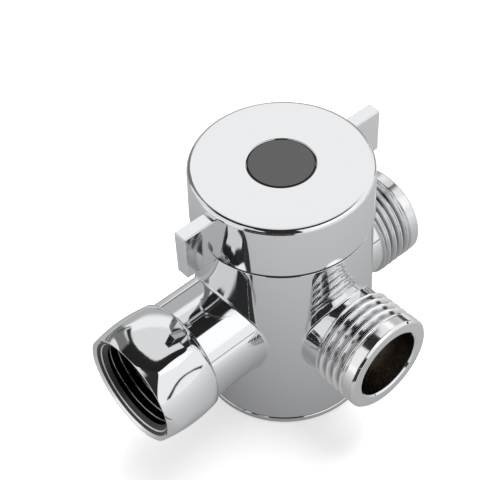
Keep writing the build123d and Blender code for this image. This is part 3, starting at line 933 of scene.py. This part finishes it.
def screw_hole():
    """The set screw's hole: a short tube into the skirt and its flat floor."""
    start = hole_reach(knob_radius, SCREW_HEIGHT, SCREW_HOLE)
    wall, normals = tube(SCREW_HOLE, np.stack([start, SCREW_HOLE_FLOOR + 0 * start]), -1)
    floor = wall[-1] * np.array([[1, 1, 1], [0, 0, 1]])[:, None]
    patches = [(wall, normals), (floor, np.broadcast_to(np.array([0, 0, 1.0]), floor.shape))]
    return [faced(patch, SCREW_AZIMUTH, SCREW_HEIGHT) for patch in patches]


def knob_patches():
    """The turned knob with its two fins and the set screw's hole in its skirt."""
    low, high = KNOB_BEVEL_TOP + 0.02, KNOB_TOP - 1.5 * KNOB_ROUND
    rest = np.linspace(SCREW_AZIMUTH + SCREW_WINDOW, SCREW_AZIMUTH + TURN - SCREW_WINDOW, 200)
    turns = np.concatenate([SCREW_AZIMUTH + window_offsets(SCREW_WINDOW)[:-1], rest])
    place = (SCREW_AZIMUTH, SCREW_HEIGHT, SCREW_WINDOW)
    upper = [
        (knob_radius(high), high, 0),
        (KNOB_TOP_RADIUS, KNOB_TOP, KNOB_ROUND),
        (RECESS_RADIUS, KNOB_TOP, RECESS_ROUND),
        (RECESS_RADIUS, RECESS_FLOOR, 0),
        (0, RECESS_FLOOR, 0),
    ]
    lower = [
        (0, KNOB_CROWN, 0),
        (SOCKET_RADIUS, KNOB_CROWN, 0),
        (SOCKET_RADIUS, KNOB_BOTTOM, 0),
        (HUB_RADIUS, KNOB_BOTTOM, 0),
        (HUB_RADIUS, KNOB_CROWN, 0),
        (SKIRT_RADIUS, KNOB_CROWN, 0),
        (SKIRT_RADIUS, KNOB_BOTTOM, 0.1),
        (KNOB_BOTTOM_RADIUS - KNOB_BEVEL, KNOB_BOTTOM, 0.1),
        (KNOB_BOTTOM_RADIUS, KNOB_BEVEL_TOP, 0.04),
        (knob_radius(low), low, 0),
    ]
    return [
        turned(upper, turns, 10),
        turned(lower, turns, 4),
        holed_wall(knob_wall, knob_radius, SCREW_HOLE, *place, low, high, 12),
        plain_wall(knob_wall, rest, window_heights(SCREW_HEIGHT, low, high)),
        *screw_hole(),
        *fin(1.0),
        *fin(-1.0),
    ]


def disc_patches():
    """The plain disc in the knob's top: its face, and its bevelled side and back in black painted shade."""
    inward, down = DISC_BEVEL
    rim = (DISC_RADIUS - inward, KNOB_TOP, 0)
    side = [(0, RECESS_FLOOR, 0), (DISC_RADIUS, RECESS_FLOOR, 0), (DISC_RADIUS, KNOB_TOP - down, 0.05), rim]
    turns = full_turn(120)
    # The side and bevel take painted shade, and the face keeps the disc's own grey
    return [(*turned(side, turns), disc_edge_painted_shade), (*turned([rim, (0, KNOB_TOP, 0)], turns), disc_plastic)]


mesh_piece("valve_body_cast", body_patches(), "valve_body", ["valve_body"])
mesh_piece("base_cap_turned", cap_patches(), "valve_body", ["base_cap"])
nut = [faced(patch, PORTS["inlet"]) for patch in nut_patches()]
mesh_piece("swivel_nut_turned", nut, "swivel_nut", ["swivel_nut"])
washer = [faced(patch, PORTS["inlet"]) for patch in washer_patches()]
mesh_piece("inlet_washer_ring", washer, "valve_body", ["inlet_washer"])
mesh_piece("knob_cast", knob_patches(), "knob", ["knob"])
mesh_piece("index_disc_plain", disc_patches(), "knob", ["index_disc"])

# Hidden pieces, where all that isn't named here is rubber
NODE_FINISH = {
    "rotor": rotor_plastic,
    "stop_pin": steel,
    "knob_set_screw": steel,
    "inlet_tail": bare_brass,
    "inlet_seat_ring": seat_plastic,
    "far_seat_ring": seat_plastic,
    "side_seat_ring": seat_plastic,
    "lower_thrust_washer": seat_plastic,
    "upper_thrust_washer": seat_plastic,
}
for node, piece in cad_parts.items():
    piece.data.materials.clear()
    piece.data.materials.append(NODE_FINISH.get(node, seal_rubber))

# Stage


def shown(tree):
    """1 for what the camera, a mirror or glass shows, and 0 for the light that falls on things."""
    path = add(tree, "ShaderNodeLightPath").outputs
    direct = add(tree, "ShaderNodeMath", {"operation": "MAXIMUM"},
                 {0: path["Is Camera Ray"], 1: path["Is Glossy Ray"]})
    return add(tree, "ShaderNodeMath", {"operation": "MAXIMUM"},
               {0: direct.outputs[0], 1: path["Is Transmission Ray"]}).outputs[0]


def glowing(name):
    """A new material with no shader yet, its node tree, and the socket that takes its surface."""
    finish, tree, shader = new_finish(name)
    tree.nodes.remove(shader)
    return finish, tree, tree.nodes["Material Output"].inputs["Surface"]


def floor_finish(name):
    """Matte white paint that also glows a little to the camera, in mirrors and through glass, so that the
    floor is pale there and still keeps the object's shadow."""
    finish, tree, surface = glowing(name)
    glow = add(tree, "ShaderNodeMath", {"operation": "MULTIPLY", 1: FLOOR_GLOW}, {0: shown(tree)})
    light = add(tree, "ShaderNodeEmission", None, {"Strength": glow.outputs[0]})
    matte = add(tree, "ShaderNodeBsdfDiffuse", {"Color": linear("#F0F0F0")})
    both = add(tree, "ShaderNodeAddShader", None, {0: light.outputs[0], 1: matte.outputs[0]})
    tree.links.new(both.outputs[0], surface)
    return finish


def covered(azimuth, height, corners, soft):
    """How far a card covers each point of a chart, from 0 outside its corners to 1 inside, over a soft edge:
    a smooth step of the distance to the nearest side. A point is inside when a level line from it crosses
    the sides an odd number of times."""
    corners = np.array(corners, float)
    middle = (corners[:, 0].min() + corners[:, 0].max()) / 2
    point = np.stack([(azimuth - middle + 180) % 360 - 180 + middle, height], -1)
    nearest = np.full(point.shape[:-1], np.inf)
    inside = np.zeros(point.shape[:-1], bool)
    for start, end in zip(corners, np.roll(corners, -1, axis=0)):
        side, away = end - start, point - start
        share = np.clip(away @ side / max(side @ side, TINY), 0, 1)
        nearest = np.minimum(nearest, np.linalg.norm(away - share[..., None] * side, axis=-1))
        crosses = (start[1] > point[..., 1]) != (end[1] > point[..., 1])
        rise = side[1] if side[1] else TINY
        inside ^= crosses & (away[..., 0] < away[..., 1] * side[0] / rise)
    return ease(np.where(inside, nearest, -nearest), -soft / 2, soft / 2)


def painted(azimuth, height, bright, cards):
    """A brightness with cards painted over it one after another. A card is its corners, its brightness and
    the width of its soft edge."""
    for corners, strength, soft in cards:
        cover = covered(azimuth, height, corners, soft)
        bright = bright * (1 - cover) + strength * cover
    return bright


def mirror_card(name, points, bright):
    """A grid of points that glows with a brightness of its own at each point, seen only in mirrors."""
    mesh = bpy.data.meshes.new(name)
    mesh.from_pydata((points * MM).reshape(-1, 3).tolist(), [], grid_faces(*bright.shape).tolist())
    mesh.attributes.new("brightness", "FLOAT", "POINT").data.foreach_set("value", bright.ravel())
    piece = placed(name, mesh)
    finish, tree, surface = glowing(name + "_face")
    brightness = add(tree, "ShaderNodeAttribute", {"attribute_name": "brightness"}).outputs["Fac"]
    glow = add(tree, "ShaderNodeEmission", None, {"Strength": brightness})
    tree.links.new(glow.outputs[0], surface)
    mesh.materials.append(finish)
    piece.visible_camera = piece.visible_diffuse = piece.visible_shadow = False


def room(cards):
    """The room that the metal mirrors, as part of a wide ball. Card corners are azimuth and elevation in
    degrees."""
    azimuth, elevation = np.meshgrid(np.linspace(-180, 180, 481), spread((-3, 8, 44), (8, 90, 110)))
    bright = painted(azimuth, elevation, np.ones(azimuth.shape), cards)
    around, rise = np.radians(azimuth), np.radians(elevation)
    way = np.stack([np.cos(rise) * np.cos(around), np.cos(rise) * np.sin(around), np.sin(rise)], -1)
    mirror_card("studio_room", CARD_DISTANCE * way + (0, 0, CARD_CENTRE), bright)


def floor_shade(cards):
    """What the metal mirrors of the floor, with the object's shadow painted on it: its brightness is
    d / (d + FLOOR_DIM) at a distance d from its darkest point, so the painted shadow is grey near the
    object and paler outwards. Card corners are azimuth in degrees and radius."""
    azimuth, radius = np.meshgrid(np.linspace(-180, 180, 181), spread((0, 120, 60), (120, 600, 24)))
    around = np.radians(azimuth)
    points = np.stack([radius * np.cos(around), radius * np.sin(around), 0.05 + 0 * radius], -1)
    far = np.linalg.norm(points[..., :2] - FLOOR_DARKEST, axis=-1)
    mirror_card("studio_floor_painted_shadow", points, painted(azimuth, radius, far / (far + FLOOR_DIM), cards))


def block(left, right, low, high):
    """The corners of a plain card."""
    return [(left, low), (right, low), (right, high), (left, high)]


# The dark part of the room above the cards. Its lower edge draws the crescent on the nut and the dark rim
# of the knob.
CEILING = [
    (-205, 56), (-150, 62), (-110, 62), (-60, 60), (-45, 57), (-12, 55), (2, 53), (3, 62), (4, 70), (8, 76),
    (18, 80), (34, 82), (52, 82), (68, 80), (77, 76), (82, 69), (81, 61), (78, 54), (73, 46.5), (78, 46),
    (84, 57), (88, 59), (93, 55), (112, 50), (138, 47), (156, 53), (185, 56), (185, 96), (-205, 96),
]

# A thin dark arch low in the room, which draws the fine arc on the nut's lower flat
ARC = [
    (-89, -3), (-82, 2.4), (-77, 4.2), (-73, 4.4), (-69, 3.6), (-64, 1.6), (-60, -1), (-57, -4), (-53, -4),
    (-58, -0.4), (-63, 2.6), (-69, 4.8), (-73, 5.9), (-77, 6), (-82, 4.6), (-90, -0.5), (-93, -4),
]

# A dark corner behind the valve, which darkens the nut beside its crowned flat
BEHIND = [(77, 4), (110, 4), (110, 59), (86, 59), (81, 48), (77, 44)]

# A dark slope beside the camera's stand, which fills the flat by the nut's mouth and the fin's image
SLOPE = [(-172, 54), (-160, 46), (-150, 38), (-150, 66), (-176, 66)]

# A thin dark line that ends the crescent
CRESCENT_END = [(73, 45.5), (80, 43.5), (91, 42.5), (91, 41), (80, 41.5), (74, 43)]

room([
    (block(4, 80, 50, 82), 0.82, 4.0),
    (block(4, 80, 28, 51), 1.02, 4.0),
    (block(20, 110, -10, 38), 0.5, 8.0),
    (block(-100, -40, 23, 60), 1.2, 5.0),
    (block(100, 200, 8, 56), 0.85, 8.0),
    (block(-172, -112, -9, 30), 0.03, 3.0),
    (block(-152, -112, 20, 66), 0.03, 3.0),
    (SLOPE, 0.03, 4.0),
    (CEILING, 0.02, 2.0),
    (BEHIND, 0.2, 3.0),
    (CRESCENT_END, 0.05, 1.0),
    (block(-35, 138, -2.5, 1.4), 0.05, 1.0),
    (block(-10, 50, -2, 12), 0.05, 3.0),
    (ARC, 0.03, 0.6),
])
floor_shade([
    (block(78, 135, 100, 800), 0.52, 12.0),
    (block(-172, -120, 86, 800), 0.04, 3.0),
])

half = FLOOR_HALF * MM
floor_corners = [(-half, -half, 0), (half, -half, 0), (half, half, 0), (-half, half, 0)]
floor_mesh = bpy.data.meshes.new("floor")
floor_mesh.from_pydata(floor_corners, [], [(0, 1, 2, 3)])
floor_mesh.materials.append(floor_finish("floor_pale"))
floor = placed("floor", floor_mesh)

# Light

world = bpy.data.worlds.new("studio")
world.use_nodes = True
bpy.context.scene.world = world
background = world.node_tree.nodes["Background"]
background.inputs["Color"].default_value = (1, 1, 1, 1)
strength = add(world.node_tree, "ShaderNodeMapRange", {"To Min": DAYLIGHT, "To Max": 1.0},
               {"Value": shown(world.node_tree)})
world.node_tree.links.new(strength.outputs["Result"], background.inputs["Strength"])

lamp_data = bpy.data.lights.new("soft_box", "AREA")
lamp_data.size = LAMP_SIZE * MM
lamp_data.energy = LAMP_POWER
lamp = placed("soft_box", lamp_data)
lamp.location = np.array(LAMP_PLACE) * MM
lamp.rotation_mode = "QUATERNION"
lamp.rotation_quaternion = (-lamp.location).to_track_quat("-Z", "Y")
lamp.visible_glossy = False

# Camera

camera_data = bpy.data.cameras.new("camera")
camera_data.sensor_width = SENSOR
camera_data.lens = LENS
camera_data.clip_start = VIEW_NEAR * MM
camera_data.clip_end = VIEW_FAR * MM
camera = placed("camera", camera_data)
bpy.context.scene.camera = camera
matrix = np.eye(4)
matrix[:3] = np.stack([EYE_RIGHT, EYE_UP, np.cross(EYE_RIGHT, EYE_UP), np.array(EYE) * MM], 1)
camera.matrix_world = Matrix(matrix.tolist())

bpy.context.scene.view_settings.view_transform = "Standard"
